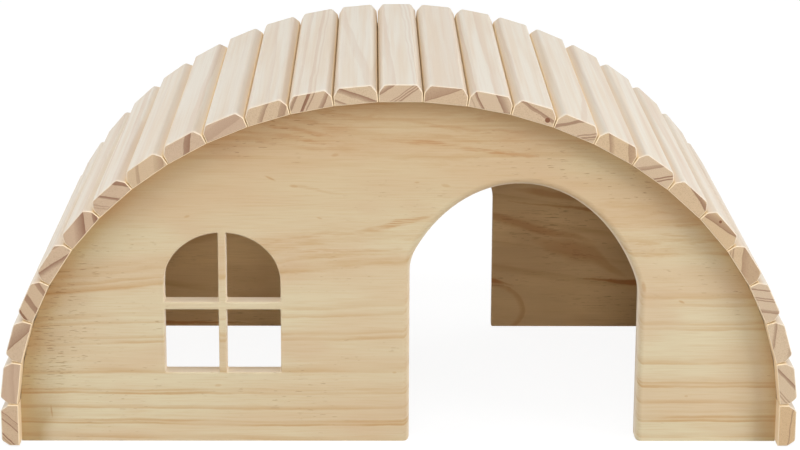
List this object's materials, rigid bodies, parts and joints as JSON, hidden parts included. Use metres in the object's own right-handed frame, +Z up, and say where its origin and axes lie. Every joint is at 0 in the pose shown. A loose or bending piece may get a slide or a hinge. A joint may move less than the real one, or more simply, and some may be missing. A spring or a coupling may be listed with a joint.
{
  "type": "hamster house",
  "caption": "Arched pine house for a hamster with a slatted roof, arched doorways front and rear and a window.",
  "frame": {"origin": "on the ground under the middle of the house", "axes": "+X to the right of someone who looks at the front, -Y out of the front, +Z up"},
  "size_m": [0.28, 0.16, 0.1306],
  "materials": {
    "board_pine": "matt, planed and sanded",
    "slat_pine": "matt, planed"
  },
  "bodies": {
    "root": {"front_wall": "board_pine", "rear_wall": "board_pine", "roof_slat_01": "slat_pine", "roof_slat_02": "slat_pine", "roof_slat_03": "slat_pine", "roof_slat_04": "slat_pine", "roof_slat_05": "slat_pine", "roof_slat_06": "slat_pine", "roof_slat_07": "slat_pine", "roof_slat_08": "slat_pine", "roof_slat_09": "slat_pine", "roof_slat_10": "slat_pine", "roof_slat_11": "slat_pine", "roof_slat_12": "slat_pine", "roof_slat_13": "slat_pine", "roof_slat_14": "slat_pine", "roof_slat_15": "slat_pine", "roof_slat_16": "slat_pine", "roof_slat_17": "slat_pine", "roof_slat_18": "slat_pine", "roof_slat_19": "slat_pine", "roof_slat_20": "slat_pine", "roof_slat_21": "slat_pine", "roof_slat_22": "slat_pine", "roof_slat_23": "slat_pine", "roof_slat_24": "slat_pine", "roof_slat_25": "slat_pine", "roof_slat_26": "slat_pine", "roof_slat_27": "slat_pine"}
  },
  "joints": []
}
